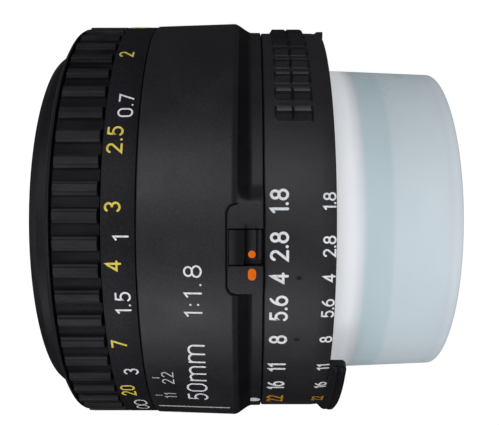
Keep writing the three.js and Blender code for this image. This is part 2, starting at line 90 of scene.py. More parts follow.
# Focus ring and its rubber grip
FOCUS_RADIUS, FOCUS_FRONT_V = 31.2, 35.9
GRIP_FLOOR, GRIP_BACK, GRIP_FRONT = 30.3, 28.9, 35.05
RIBS, RIB_PHASE, RIB_BACK, RIB_FRONT = 56, -1.65, 29.0, 34.9
# Half of one rib: distance from its middle and height above the groove
RIB_PROFILE = (
    (0.0, 0.90), (0.42, 0.90), (0.50, 0.86), (0.56, 0.68),
    (0.84, 0.62), (0.92, 0.55), (1.00, 0.08), (1.08, 0.0),
)

# Aperture ring and its finger blocks
APERTURE_RADIUS = 30.3
BLOCK_ROWS, BLOCK_PITCH, BLOCK_START = 11, 6.1, 88.6
BLOCK_GROUPS = (BLOCK_START, BLOCK_START + 180)
BLOCK_BASE, BLOCK_CREST, BLOCK_HEIGHT = 1.28, (-0.5, 0.0), 0.62
BLOCK_BACK, BLOCK_FRONT, BLOCK_SLOPE, BLOCK_SLOT = 2.0, 7.1, 0.36, 4.66

# Filter ring, mount and cap
FILTER_RADIUS, CAP_RADIUS = 27.3, 24.5
LUG_DIALS, LUG_HALF_WIDTH = (30, 150, 270), 29
SCREW_DIALS, SCREW_CIRCLE = (25, 265, 325), 25.0

# Camera and lights; distances from the lens are in metres
VIEW_TILT, VIEW_V, VIEW_DISTANCE = 62.0, 10.5, 0.113
FOCAL_LENGTH = 48.05
AIM_RIGHT, AIM_UP = 0.0023, 0.0090
LIGHT_COLOUR = (0.98, 0.96, 1.0)
FLOOR_SIZE, FLOOR_GAP = 3.0, 0.0002

# Meshes: the radius that counts as none, the weld in metres, the step of a sector in degrees, the run
# of a steep wall, and the smallest turn between two stations
ON_AXIS, WELD_DISTANCE, SECTOR_STEP, STEEP, SPLIT = 1e-6, 1e-7, 1.5, 0.02, 0.0005


# ---- geometry helpers
def point(radius, dial, v):
    """A place on the lens as x, y and z in metres."""
    angle = math.radians(dial)
    return (SEAT_X + v * MM, -radius * math.sin(angle) * MM, radius * math.cos(angle) * MM)


def smooth_step(low, high, x):
    """0 to 1 as x goes from low to high, easing in and out."""
    t = min(1.0, max(0.0, (x - low) / (high - low)))
    return t * t * (3 - 2 * t)


def spread(start, end, count):
    """Evenly spaced values from start to end, both included."""
    return [start + (end - start) * i / count for i in range(count + 1)]


def bow(start, middle, end, steps=8):
    """A smooth curve from start to end, pulled towards middle."""
    a, b, c = Vector(start), Vector(middle), Vector(end)
    return [tuple(a * (1 - t) ** 2 + b * 2 * t * (1 - t) + c * t * t) for t in spread(0, 1, steps)]


def rounded(outline, radius, steps=3):
    """A closed outline with each corner off the axis turned into a small curve."""
    most_of_a_side = 0.45
    result = []
    for i, corner in enumerate(outline):
        here = Vector(corner)
        before, after = Vector(outline[i - 1]), Vector(outline[(i + 1) % len(outline)])
        if here.x < ON_AXIS:
            result.append(tuple(here))
            continue
        reach_back = min(radius, (before - here).length * most_of_a_side)
        reach_on = min(radius, (after - here).length * most_of_a_side)
        start = here + (before - here).normalized() * reach_back
        end = here + (after - here).normalized() * reach_on
        result += bow(start, here, end, steps)
    return result


def sweep(outline_at, dials, full=True):
    """Vertices and faces of a closed outline of (radius, v) points carried round the axis."""
    outlines = [outline_at(dial) for dial in dials]
    count = len(outlines[0])
    verts = [point(r, dial, v) for dial, outline in zip(dials, outlines) for r, v in outline]
    faces = []
    stations = len(dials)
    for i in range(stations if full else stations - 1):
        j = (i + 1) % stations
        for k in range(count):
            m = (k + 1) % count
            faces.append((i * count + k, j * count + k, j * count + m, i * count + m))
    if not full:
        faces.append(tuple(range(count)))
        faces.append(tuple((stations - 1) * count + k for k in reversed(range(count))))
    return verts, faces


def whole_turn(segments):
    """Dial angles once round, without the closing one."""
    return [360 * i / segments for i in range(segments)]


def turned(outline, segments):
    """An outline carried once round the axis."""
    return sweep(lambda dial: outline, whole_turn(segments))


def sector(outline, start, end):
    """An outline carried part of the way round the axis, with flat ends."""
    count = max(2, round((end - start) / SECTOR_STEP))
    return sweep(lambda dial: outline, spread(start, end, count), full=False)


def merged(*shapes):
    """Several shapes as one."""
    verts, faces = [], []
    for more_verts, more_faces in shapes:
        base = len(verts)
        verts += more_verts
        faces += [tuple(base + i for i in face) for face in more_faces]
    return verts, faces


def placed(name, data):
    """A new object in the scene."""
    thing = bpy.data.objects.new(name, data)
    bpy.context.scene.collection.objects.link(thing)
    return thing


def make(name, shape, material, body, nodes=(), *, sharp=32):
    """A visible piece: its mesh and material, the body it rides on and the CAD nodes it replaces."""
    mesh = bpy.data.meshes.new(name)
    mesh.from_pydata(shape[0], [], shape[1])
    tidy = bmesh.new()
    tidy.from_mesh(mesh)
    bmesh.ops.remove_doubles(tidy, verts=tidy.verts, dist=WELD_DISTANCE)
    bmesh.ops.recalc_face_normals(tidy, faces=tidy.faces)
    tidy.to_mesh(mesh)
    tidy.free()
    mesh.shade_smooth()
    mesh.set_sharp_from_angle(angle=math.radians(sharp))
    mesh.materials.append(material)
    piece = placed(name, mesh)
    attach(piece, body)
    if nodes:
        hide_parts(*nodes)


def along_radius(shape, dial, radius, v):
    """Moves a shape drawn in millimetres, with z outwards and x forwards, on to the lens."""
    turn = Matrix.Rotation(math.radians(dial), 4, "X")
    place = Matrix.Translation(point(radius, dial, v)) @ turn @ Matrix.Scale(MM, 4)
    return [tuple(place @ Vector(vert)) for vert in shape[0]], shape[1]


# ---- lettering
def arc(cx, cy, rx, ry, start, end):
    """Points on an ellipse round (cx, cy), about 14 degrees apart."""
    count = max(4, round(abs(end - start) / 14))
    return [(cx + rx * math.cos(math.radians(t)), cy + ry * math.sin(math.radians(t)))
            for t in spread(start, end, count)]


# Each glyph is one unit high: its width, its strokes and its dots. "~" stands for infinity.
GLYPHS = {
    "0": (0.56, [
        arc(0.28, 0.70, 0.28, 0.30, 0, 180) + arc(0.28, 0.30, 0.28, 0.30, 180, 360) + [(0.56, 0.70)],
    ], []),
    "1": (0.24, [[(0.02, 0.84), (0.21, 1.0), (0.21, 0.0)]], []),
    "2": (0.54, [arc(0.27, 0.74, 0.26, 0.26, 165, -25) + [(0.0, 0.0), (0.54, 0.0)]], []),
    "3": (0.52, [arc(0.25, 0.76, 0.24, 0.24, 150, -80), arc(0.25, 0.27, 0.27, 0.27, 80, -150)], []),
    "4": (0.56, [[(0.41, 0.0), (0.41, 1.0), (0.0, 0.26), (0.56, 0.26)]], []),
    "5": (0.54, [[(0.50, 1.0), (0.10, 1.0), (0.05, 0.55)] + arc(0.25, 0.33, 0.29, 0.33, 128, -145)], []),
    "6": (0.56, [arc(0.28, 0.31, 0.28, 0.31, 0, 360), bow((0.0, 0.33), (0.04, 0.78), (0.40, 1.0))], []),
    "7": (0.52, [[(0.0, 1.0), (0.52, 1.0), (0.16, 0.0)]], []),
    "8": (0.56, [arc(0.28, 0.76, 0.23, 0.24, 0, 360), arc(0.28, 0.27, 0.28, 0.27, 0, 360)], []),
    "m": (0.88, [[(0.0, 0.0), (0.0, 0.78)], arc(0.22, 0.54, 0.22, 0.24, 180, 0) + [(0.44, 0.0)],
                 arc(0.66, 0.54, 0.22, 0.24, 180, 0) + [(0.88, 0.0)]], []),
    ".": (0.04, [], [(0.02, 0.03)]),
    ":": (0.04, [], [(0.02, 0.18), (0.02, 0.60)]),
    " ": (0.30, [], []),
    "~": (2.40, [
        arc(0.56, 0.5, 0.56, 0.46, 45, 315) + arc(1.84, 0.5, 0.56, 0.46, 135, -135) + [(0.956, 0.825)],
    ], []),
}
GLYPH_GAP = 0.22
INK_HEIGHT = 0.02
INK_STEP = 0.35


def resampled(path):
    """The same path with no segment longer than INK_STEP."""
    result = [Vector(path[0])]
    for target in path[1:]:
        start, end = result[-1].copy(), Vector(target)
        parts = max(1, math.ceil((end - start).length / INK_STEP))
        result += [start.lerp(end, i / parts) for i in range(1, parts + 1)]
    return result


def ribbon(path, half_width, place):
    """A closed flat band with round ends along a path. place maps (x, y, lift) on to the lens."""
    path = resampled(path)
    sides = []
    for i, here in enumerate(path):
        before, after = path[max(i - 1, 0)], path[min(i + 1, len(path) - 1)]
        into = (here - before).normalized() if i else (after - here).normalized()
        out = (after - here).normalized() if i < len(path) - 1 else into
        mean = (into + out).normalized()
        normal = Vector((-mean.y, mean.x))
        reach = half_width / max(0.5, normal.dot(Vector((-into.y, into.x))))
        sides.append((here + normal * reach, here - normal * reach))
    rows = []
    rows += round_end(path[0], path[0] - path[1], half_width)
    rows += sides
    rows += [tuple(reversed(pair)) for pair in reversed(round_end(path[-1], path[-1] - path[-2], half_width))]
    return band(rows, place)


def round_end(centre, outward, half_width):
    """Pairs of side points that close a band with a half circle, from its tip inwards."""
    steps = 3
    outward = outward.normalized()
    normal = Vector((outward.y, -outward.x))
    pairs = []
    for i in range(steps):
        t = math.radians(90 - 84 * (1 - (i + 0.5) / steps))
        reach = math.cos(math.radians(90) - t) * half_width
        ahead = math.sin(math.radians(90) - t) * half_width
        pairs.append((centre + outward * ahead + normal * reach, centre + outward * ahead - normal * reach))
    return pairs


def band(rows, place):
    """A thin closed slab over pairs of side points."""
    count = len(rows)
    verts = []
    for lift in (INK_HEIGHT, -INK_HEIGHT):
        for left, right in rows:
            verts += [place(left.x, left.y, lift), place(right.x, right.y, lift)]
    low = 2 * count
    faces = []
    for i in range(count - 1):
        a, b = 2 * i, 2 * i + 1
        faces.append((a, b, b + 2, a + 2))
        faces.append((low + a, low + a + 2, low + b + 2, low + b))
        faces.append((a, a + 2, low + a + 2, low + a))
        faces.append((b, low + b, low + b + 2, b + 2))
    last = 2 * (count - 1)
    faces.append((0, low, low + 1, 1))
    faces.append((last, last + 1, low + last + 1, low + last))
    return verts, faces


def disc(centre, radius, place, segments=20):
    """A thin closed round slab."""
    rim = [(centre[0] + radius * math.cos(t), centre[1] + radius * math.sin(t))
           for t in (2 * math.pi * i / segments for i in range(segments))]
    verts = [place(x, y, lift) for lift in (INK_HEIGHT, -INK_HEIGHT) for x, y in rim]
    faces = [tuple(range(segments)), tuple(reversed(range(segments, 2 * segments)))]
    faces += [(i, i + segments, (i + 1) % segments + segments, (i + 1) % segments) for i in range(segments)]
    return verts, faces


def on_surface(surface, dial, base_v):
    """Maps lettering millimetres, x round the dial and y forwards, on to a turned surface."""
    def place(x, y, lift):
        v = base_v + y
        radius = surface(v)
        return point(radius + lift, dial + math.degrees(x / radius), v)
    return place


def label(text, dial, base_v, height, surface, weight, squeeze=1.0, gap=GLYPH_GAP):
    """Lettering centred on a dial angle, reading round the dial with its tops towards the front."""
    width = sum(GLYPHS[c][0] for c in text) + gap * (len(text) - 1)
    place = on_surface(surface, dial, base_v)
    half = weight * height / 2
    x = -width / 2
    shapes = []
    for c in text:
        advance, strokes, dots = GLYPHS[c]
        for stroke in strokes:
            path = [((x + px) * height * squeeze, half + py * (height - 2 * half)) for px, py in stroke]
            shapes.append(ribbon(path, half, place))
        for px, py in dots:
            shapes.append(disc(((x + px) * height * squeeze, half + py * height), half * 1.15, place))
        x += advance + gap
    return merged(*shapes)


def bar(dial, start_v, end_v, half_width, surface):
    """A straight line along the lens."""
    place = on_surface(surface, dial, 0)
    return ribbon([(0, start_v), (0, end_v)], half_width, place)


# ---- materials
# Sockets of the Mix node, which has one set for numbers and one for colours
MIX_FACTOR = 0
NUMBER_A, NUMBER_B, NUMBER_RESULT = 2, 3, 0
COLOUR_A, COLOUR_B, COLOUR_RESULT = 6, 7, 2


class Shader:
    """A node material with short ways to add nodes and link them."""

    def __init__(self, name):
        self.material = bpy.data.materials.new(name)
        self.material.use_nodes = True
        self.tree = self.material.node_tree
        self.surface = self.tree.nodes["Principled BSDF"]
        self.output = self.tree.nodes["Material Output"]
        coordinates = self.add("ShaderNodeTexCoord")
        self.place, self.facing = coordinates.outputs["Object"], coordinates.outputs["Normal"]

    def add(self, kind, **values):
        node = self.tree.nodes.new(kind)
        for key, value in values.items():
            if key in node.inputs:
                node.inputs[key].default_value = value
            else:
                setattr(node, key, value)
        return node

    def link(self, source, target):
        self.tree.links.new(source, target)

    def noise(self, scale, detail, roughness=0.55, stretch=(1, 1, 1)):
        """Cloudy noise fixed to the piece, with scale in features per metre."""
        mapping = self.add("ShaderNodeMapping")
        mapping.inputs["Scale"].default_value = stretch
        self.link(self.place, mapping.inputs["Vector"])
        noise = self.add("ShaderNodeTexNoise", Scale=scale, Detail=detail, Roughness=roughness)
        self.link(mapping.outputs["Vector"], noise.inputs["Vector"])
        return noise.outputs["Fac"]

    def ramp(self, source, stops):
        ramp = self.add("ShaderNodeValToRGB")
        elements = ramp.color_ramp.elements
        while len(elements) < len(stops):
            elements.new(0.5)
        for element, (at, colour) in zip(elements, stops):
            element.position = at
            element.color = (*colour, 1)
        self.link(source, ramp.inputs["Fac"])
        return ramp.outputs["Color"]

    def spread(self, source, low, high, from_low=0.3, from_high=0.7):
        """The source's values, moved from one range to another."""
        limits = {"From Min": from_low, "From Max": from_high, "To Min": low, "To Max": high}
        node = self.add("ShaderNodeMapRange", **limits)
        self.link(source, node.inputs["Value"])
        return node.outputs["Result"]

    def outward(self):
        """The shortest way from the optical axis to the shaded point."""
        flat = self.add("ShaderNodeVectorMath", operation="MULTIPLY")
        flat.inputs[1].default_value = (0, 1, 1)
        self.link(self.place, flat.inputs[0])
        return flat.outputs["Vector"]

    def from_axis(self, low, high):
        """0 to 1 as the distance from the axis goes from low to high, in millimetres."""
        length = self.add("ShaderNodeVectorMath", operation="LENGTH")
        self.link(self.outward(), length.inputs[0])
        return self.spread(length.outputs["Value"], 0, 1, low * MM, high * MM)

    def along_axis(self, low, high):
        """0 to 1 as v goes from low to high."""
        parts = self.add("ShaderNodeSeparateXYZ")
        self.link(self.place, parts.inputs["Vector"])
        return self.spread(parts.outputs["X"], 0, 1, SEAT_X + low * MM, SEAT_X + high * MM)

    def facing_round(self, low, high):
        """0 to 1 as a face turns from outwards towards the rising dial angle."""
        unit = self.add("ShaderNodeVectorMath", operation="NORMALIZE")
        self.link(self.outward(), unit.inputs[0])
        round_axis = self.add("ShaderNodeVectorMath", operation="CROSS_PRODUCT")
        round_axis.inputs[0].default_value = (1, 0, 0)
        self.link(unit.outputs["Vector"], round_axis.inputs[1])
        along = self.add("ShaderNodeVectorMath", operation="DOT_PRODUCT")
        self.link(round_axis.outputs["Vector"], along.inputs[0])
        self.link(self.facing, along.inputs[1])
        return self.spread(along.outputs["Value"], 0, 1, low, high)

    def blend(self, factor, colour, other):
        """The colour, giving way to another as the factor rises."""
        node = self.add("ShaderNodeMix", data_type="RGBA")
        self.link(factor, node.inputs[MIX_FACTOR])
        self.link(colour, node.inputs[COLOUR_A])
        node.inputs[COLOUR_B].default_value = (*other, 1)
        return node.outputs[COLOUR_RESULT]

    def seen_by_camera(self):
        """1 for what the camera sees directly, 0 for reflections and lighting."""
        return self.add("ShaderNodeLightPath").outputs["Is Camera Ray"]

    def combined(self, operation, first, second):
        """Two numbers turned into one, by the Math node's MULTIPLY or MAXIMUM."""
        node = self.add("ShaderNodeMath", operation=operation)
        self.link(first, node.inputs[0])
        self.link(second, node.inputs[1])
        return node.outputs["Value"]

    def times(self, colour, shade):
        """A colour multiplied by a shade."""
        node = self.add("ShaderNodeMix", data_type="RGBA", blend_type="MULTIPLY")
        node.inputs[MIX_FACTOR].default_value = 1.0
        self.link(colour, node.inputs[COLOUR_A])
        self.link(shade, node.inputs[COLOUR_B])
        return node.outputs[COLOUR_RESULT]

    def shaded(self, colour, source, darkest):
        """A colour, darkened where the source falls to 0."""
        return self.times(colour, self.ramp(source, [(0.0, (darkest,) * 3), (1.0, (1.0,) * 3)]))

    def layered(self, shader, other, share):
        """A shader node with a share of another mixed in."""
        node = self.add("ShaderNodeMixShader", Fac=share)
        self.link(shader.outputs[0], node.inputs[1])
        self.link(other.outputs[0], node.inputs[2])
        return node

    def bump(self, source, depth, strength):
        """A surface direction roughened by the source, with depth in millimetres."""
        node = self.add("ShaderNodeBump", Distance=depth * MM, Strength=strength)
        self.link(source, node.inputs["Height"])
        return node.outputs["Normal"]

    def finish(self, colour, roughness, normal, **others):
        """Sets or links the surface's inputs by name and gives the material."""
        inputs = {"Base Color": colour, "Roughness": roughness, "Normal": normal}
        inputs.update({name.replace("_", " "): value for name, value in others.items()})
        for name, value in inputs.items():
            if isinstance(value, bpy.types.NodeSocket):
                self.link(value, self.surface.inputs[name])
            elif value is not None:
                self.surface.inputs[name].default_value = value
        return self.material


RING_DARK, RING_LIGHT = (0.0060, 0.0060, 0.0074), (0.0135, 0.0135, 0.0165)
PLASTIC_SHINE, PLASTIC_ROUGH, PLASTIC_GRAIN = 0.34, (0.44, 0.54), 0.02
# Painted highlight: the pale colour given to one slope of each finger block
PAINTED_HIGHLIGHT_PLASTIC = (0.12, 0.12, 0.13)


def grained(s, dark, light):
    """The mottled colour of moulded plastic and the broad noise behind it."""
    fine, broad = s.noise(3600, 3), s.noise(160, 4)
    mixed = s.add("ShaderNodeMix", data_type="FLOAT")
    mixed.inputs[MIX_FACTOR].default_value = 0.35
    s.link(fine, mixed.inputs[NUMBER_A])
    s.link(broad, mixed.inputs[NUMBER_B])
    return s.ramp(mixed.outputs[NUMBER_RESULT], [(0.38, dark), (0.62, light)]), broad


def grain_bump(s, depth):
    return s.bump(s.noise(5200, 2, 0.7), depth, 0.7)


def textured_plastic(name, dark, light, rough, grain=PLASTIC_GRAIN, shine=PLASTIC_SHINE):
    """Moulded black plastic with a fine spark-eroded grain and faint handling marks."""
    s = Shader(name)
    colour, broad = grained(s, dark, light)
    return s.finish(colour, s.spread(broad, *rough), grain_bump(s, grain), Specular_IOR_Level=shine)


def barrel_plastic():
    """The barrel's plastic, with painted shade in the waist between the body and the rear ring: a darker
    colour and less shine there.
    """
    s = Shader("shell_plastic")
    colour, broad = grained(s, RING_DARK, RING_LIGHT)
    # Painted shade: 0 in the waist, where the colour is darkened to half and the shine lowered; 1 behind it,
    # ahead of it and on anything proud of it
    behind = s.along_axis(10.5, 9.9)
    ahead = s.along_axis(11.8, 12.7)
    proud = s.from_axis(31.40, 31.48)
    outside_painted_shade = s.combined("MAXIMUM", s.combined("MAXIMUM", behind, ahead), proud)
    return s.finish(
        s.shaded(colour, outside_painted_shade, 0.5), s.spread(broad, *PLASTIC_ROUGH), grain_bump(s, PLASTIC_GRAIN),
        Specular_IOR_Level=s.spread(outside_painted_shade, 0.11, PLASTIC_SHINE, 0, 1),
    )


def ring_plastic():
    """The aperture ring's plastic; one slope of each finger block is painted lighter towards its crest, a
    painted highlight.
    """
    s = Shader("ring_plastic")
    colour, broad = grained(s, RING_DARK, RING_LIGHT)
    height = s.from_axis(APERTURE_RADIUS + 0.02, APERTURE_RADIUS + BLOCK_HEIGHT)
    # Painted highlight on the slope that faces the rising dial angle, growing towards the crest
    slope = s.combined("MULTIPLY", s.facing_round(0.2, 0.38), s.along_axis(1.4, 1.8))
    wear_and_painted_highlight = s.combined("MULTIPLY", slope, s.spread(height, 0.3, 1.0, 0, 1))
    return s.finish(
        s.blend(wear_and_painted_highlight, colour, PAINTED_HIGHLIGHT_PLASTIC), s.spread(broad, *PLASTIC_ROUGH), grain_bump(s, PLASTIC_GRAIN),
        Specular_IOR_Level=s.spread(height, 0.52, 0.10, 0.05, 0.12),
    )


def rubber():
    """Ribbed grip rubber, slightly blue, with a little dust on it and painted shade in the grooves between
    the ribs.
    """
    s = Shader("grip_rubber")
    dust, fine = s.noise(420, 5, 0.6, (0.35, 1, 1)), s.noise(4200, 2)
    dusty = s.ramp(dust, [(0.36, (0.007, 0.0073, 0.0085)), (0.70, (0.019, 0.020, 0.023))])
    # Painted shade: the grooves are darkened to 0.55 of the colour and given less shine than the rib tops
    height = s.from_axis(GRIP_FLOOR + 0.1, GRIP_FLOOR + 0.75)
    colour = s.shaded(dusty, height, 0.55)
    shine = s.spread(height, 0.09, 0.18, 0, 1)
    return s.finish(colour, s.spread(fine, 0.48, 0.66), s.bump(fine, 0.03, 0.6), Specular_IOR_Level=shine)


def ink(name, colour):
    """Paint filled into the lettering, slightly uneven."""
    s = Shader(name)
    wear = s.noise(2600, 3)
    # The darker colour where the ink is worn
    wear_and_painted_highlight = tuple(c * 0.72 for c in colour)
    mapped = s.ramp(wear, [(0.28, wear_and_painted_highlight), (0.52, colour)])
    return s.finish(mapped, s.spread(wear, 0.45, 0.65), None, Specular_IOR_Level=0.12)


def turned_metal(name, dark, light, rough, rings=2600):
    """Metal with fine turning marks round the optical axis."""
    s = Shader(name)
    lines = s.noise(rings, 2, 0.5, (1, 0.02, 0.02))
    blotch = s.noise(300, 4)
    colour = s.ramp(blotch, [(0.3, dark), (0.7, light)])
    return s.finish(colour, s.spread(blotch, *rough), s.bump(lines, 0.01, 0.5), Metallic=1.0)


def cap_plastic():
    """Milky translucent polyethylene, tinted where the wall is thick, with painted light: it glows to the
    camera all over, most near the mount.
    """
    s = Shader("cap_plastic")
    length = s.along_axis(CAP_END, 0)
    tint = s.ramp(length, [
        (0.0, (0.66, 0.73, 0.77)), (0.04, (0.74, 0.80, 0.83)), (0.09, (0.69, 0.75, 0.79)),
        (0.12, (0.69, 0.77, 0.80)), (0.49, (0.665, 0.75, 0.775)), (0.525, (0.575, 0.69, 0.72)),
        (0.70, (0.575, 0.69, 0.72)), (0.735, (0.72, 0.75, 0.78)), (1.0, (0.86, 0.86, 0.86)),
    ])
    cloud = s.noise(90, 4, 0.5, (1, 0.5, 0.5))
    shade = s.ramp(cloud, [(0.3, (0.90, 0.92, 0.93)), (0.7, (1.0, 1.0, 1.0))])
    colour = s.times(tint, shade)
    ripple = s.bump(s.noise(1500, 2), 0.01, 0.4)
    # Painted light: an emission seen only by the camera, stronger towards the mount
    glow = s.spread(s.along_axis(-5.2, -3.5), 0.42, 0.88, 0, 1)
    s.finish(
        colour, s.spread(cloud, 0.26, 0.38), ripple, Specular_IOR_Level=0.4,
        Emission_Color=colour, Emission_Strength=s.combined("MULTIPLY", glow, s.seen_by_camera()),
    )
    translucent = s.add("ShaderNodeBsdfTranslucent")
    s.link(colour, translucent.inputs["Color"])
    clear = s.add("ShaderNodeBsdfTransparent", Color=(0.86, 0.92, 0.94, 1))
    milky = s.layered(s.surface, translucent, 0.35)
    whole = s.layered(milky, clear, 0.12)
    s.link(whole.outputs["Shader"], s.output.inputs["Surface"])
    return s.material


def coated_glass(name, coat):
    """Optical glass whose coating reflects one colour."""
    s = Shader(name)
    smear = s.spread(s.noise(120, 3), 0.0, 0.03)
    return s.finish(
        (0.97, 0.98, 0.97, 1), smear, None, IOR=1.55, Transmission_Weight=1.0, Specular_Tint=(*coat, 1),
    )


def plain(name, dark, light, rough, metallic=0.0):
    """An even material with a slightly cloudy colour."""
    s = Shader(name)
    cloud = s.noise(600, 4)
    colour = s.ramp(cloud, [(0.35, dark), (0.65, light)])
    return s.finish(colour, s.spread(cloud, *rough), s.bump(cloud, 0.01, 0.5), Metallic=metallic)


SHELL = barrel_plastic()
RING = ring_plastic()
DARK = textured_plastic("inner_plastic", (0.006, 0.006, 0.006), (0.014, 0.014, 0.015), (0.6, 0.75))
GLOSSY = textured_plastic(
    "smooth_plastic", (0.006, 0.006, 0.007), (0.011, 0.011, 0.0125), (0.42, 0.52), grain=0.008, shine=0.12,
)
# Painted shade: a near-black for flat spots that stand in for the aperture ring's pits
PAINTED_PIT_SHADE = plain("pit_shadow", (0.001, 0.001, 0.001), (0.003, 0.003, 0.003), (0.8, 0.9))
RUBBER = rubber()
WHITE = ink("white_ink", (0.69, 0.72, 0.73))
GREY = ink("grey_ink", (0.47, 0.49, 0.50))
YELLOW = ink("yellow_ink", (0.65, 0.54, 0.08))
AMBER = ink("amber_ink", (0.52, 0.24, 0.01))
ORANGE = ink("orange_ink", (0.68, 0.13, 0.0))
CHROME = turned_metal("satin_chrome", (0.55, 0.54, 0.52), (0.70, 0.69, 0.67), (0.18, 0.3))
ALUMINIUM = turned_metal("turned_aluminium", (0.30, 0.31, 0.32), (0.42, 0.43, 0.44), (0.3, 0.45))
STEEL = turned_metal("plain_steel", (0.36, 0.36, 0.37), (0.52, 0.52, 0.53), (0.28, 0.42))
BLACKENED = turned_metal("blackened_metal", (0.010, 0.010, 0.011), (0.022, 0.022, 0.024), (0.35, 0.5))
BLADE = turned_metal("blade_steel", (0.030, 0.032, 0.036), (0.055, 0.058, 0.064), (0.3, 0.42), 900)
GOLD = plain("gold_plate", (0.70, 0.46, 0.14), (0.88, 0.63, 0.24), (0.15, 0.3), 1.0)
BOARD = plain("board_green", (0.010, 0.09, 0.035), (0.02, 0.16, 0.06), (0.3, 0.5))
ACETAL = plain("natural_acetal", (0.58, 0.56, 0.50), (0.70, 0.68, 0.63), (0.35, 0.5))
CAP = cap_plastic()
SLOT_MATERIALS = {
    "shell": SHELL, "inner_plastic": DARK, "grip": RUBBER, "cap": CAP, "chrome": CHROME, "steel": STEEL,
    "blackened": BLACKENED, "aluminium": ALUMINIUM, "gold": GOLD, "gear_plastic": ACETAL, "board": BOARD,
}


# ---- front of the lens
def filter_ring():
    """Front ring with its filter thread, chamfered rim and the sleeve inside the focus ring."""
    pitch, crest, root = 0.75, 25.75, 26.05
    sleeve_bore, sleeve_back = 26.4, 27.8
    thread = []
    v = FRONT - 0.45
    while v > FRONT - 3.6:
        thread += [(crest, v), (root, v - pitch / 2)]
        v -= pitch
    outline = rounded([
        (sleeve_bore, sleeve_back), (FILTER_RADIUS, sleeve_back), (FILTER_RADIUS, 37.9),
        (26.45, FRONT), (25.95, FRONT),
    ], 0.18)
    outline += thread
    outline += rounded([
        (25.7, 34.6), (24.5, 33.95), (22.0, 33.95), (22.0, 33.25), (sleeve_bore, 33.25),
    ], 0.1)
    make("front_filter_ring", turned(outline, 256), GLOSSY, "optical_unit", ["filter_ring"])


def name_ring():
    """Conical front plate with fine anti-glare steps."""
    steps, tread_rise = 14, 0.06
    inner_radius, width = 16.3, 9.0
    back, depth = 31.9, 4.7
    outline = []
    for i in range(steps):
        t, following = i / steps, (i + 1) / steps
        outline.append((inner_radius + width * t, back + depth * t))
        outline.append((inner_radius + width * following, back + depth * t + tread_rise))
    outline += [(25.35, 36.6), (25.35, 36.0), (16.2, 31.05)]
    make("front_name_ring", turned(outline, 192), DARK, "optical_unit", ["name_ring"])


def lens_surface(vertex, sphere, radii):
    """Points of a spherical face, which bulges forwards where its sphere is positive."""
    sag = [abs(sphere) - math.sqrt(sphere * sphere - r * r) for r in radii]
    return [(r, vertex - math.copysign(s, sphere)) for r, s in zip(radii, sag)]


def glass_elements():
    """Six polished elements: name, radius, back vertex and sphere, front vertex and sphere, coating."""
    elements = (
        ("lens_1", 15.5, 26.0, 200, 29.6, 45, (0.75, 0.55, 1.0)),
        ("lens_2", 14.2, 22.2, 60, 25.3, 28, (0.55, 0.9, 0.75)),
        ("lens_3", 12.2, 20.1, 22, 21.2, 60, (1.0, 0.75, 0.5)),
        ("lens_4", 10.9, 7.0, 200, 8.2, -22, (0.6, 0.8, 1.0)),
        ("lens_5", 12.3, 1.6, -24, 6.7, 200, (0.75, 0.6, 1.0)),
        ("lens_6", 12.3, -4.2, -60, 1.2, 60, (0.6, 1.0, 0.8)),
    )
    for name, radius, back, back_sphere, front, front_sphere, coat in elements:
        radii = spread(0, radius, 20)
        outline = lens_surface(back, back_sphere, radii)
        outline += list(reversed(lens_surface(front, front_sphere, radii)))
        glass = coated_glass(f"{name}_coating", coat)
        make(f"{name}_glass", turned(outline, 96), glass, "optical_unit", [name])


# ---- focus ring
def focus_band(v):
    """Radius of the printed band behind the grip, the same all along."""
    return FOCUS_RADIUS


def focus_shell():
    """The printed band, the seat of the grip and the lip in front of it."""
    back, seat_radius = FOCUS_SEAM + 0.06, 29.95
    bore, web_bore, web_front = 28.05, 26.05, 26.15
    outline = rounded([
        (web_bore, 24.62), (28.0, FOCUS_SEAM + 0.1), (29.2, back), (FOCUS_RADIUS, back),
        (FOCUS_RADIUS, GRIP_BACK - 0.22), (seat_radius, GRIP_BACK - 0.2),
        (seat_radius, GRIP_FRONT + 0.08), (30.95, GRIP_FRONT + 0.08), (30.75, GRIP_FRONT + 0.45),
        (30.1, FOCUS_FRONT_V), (bore, FOCUS_FRONT_V), (bore, web_front), (web_bore, web_front),
    ], 0.12)
    make("focus_ring_shell", turned(outline, 288), RING, "focus", ["focus_ring"])


def grip():
    """Rubber sleeve with stepped ribs that fade out at both edges."""
    pitch, groove_middle, bore = 360 / RIBS, 1.5, 30.0
    rib = [(-x, h) for x, h in reversed(RIB_PROFILE)] + [*RIB_PROFILE[1:], (groove_middle, 0.0)]
    height_at = {}
    for i in range(RIBS):
        for x, height in rib:
            height_at[RIB_PHASE + i * pitch + math.degrees(x / FOCUS_RADIUS)] = height
    rows = [GRIP_BACK, RIB_BACK, RIB_BACK + 0.06, RIB_BACK + 0.14, RIB_BACK + 0.3, RIB_BACK + 0.6,
            32.0, RIB_FRONT - 0.5, RIB_FRONT - 0.25, RIB_FRONT - 0.08, RIB_FRONT + 0.08, GRIP_FRONT]

    def outline_at(dial):
        outer = []
        for v in rows:
            fade = smooth_step(RIB_BACK - 0.08, RIB_BACK + 0.12, v)
            fade *= smooth_step(RIB_FRONT + 0.08, RIB_FRONT - 0.25, v)
            edge = 0.1 if v in (GRIP_BACK, GRIP_FRONT) else 0.0
            outer.append((GRIP_FLOOR + height_at[dial] * fade - edge, v))
        return outer + [(bore, GRIP_FRONT), (bore, GRIP_BACK)]

    sleeve = sweep(outline_at, list(height_at))
    make("rubber_grip", sleeve, RUBBER, "focus", ["focus_grip"], sharp=24)


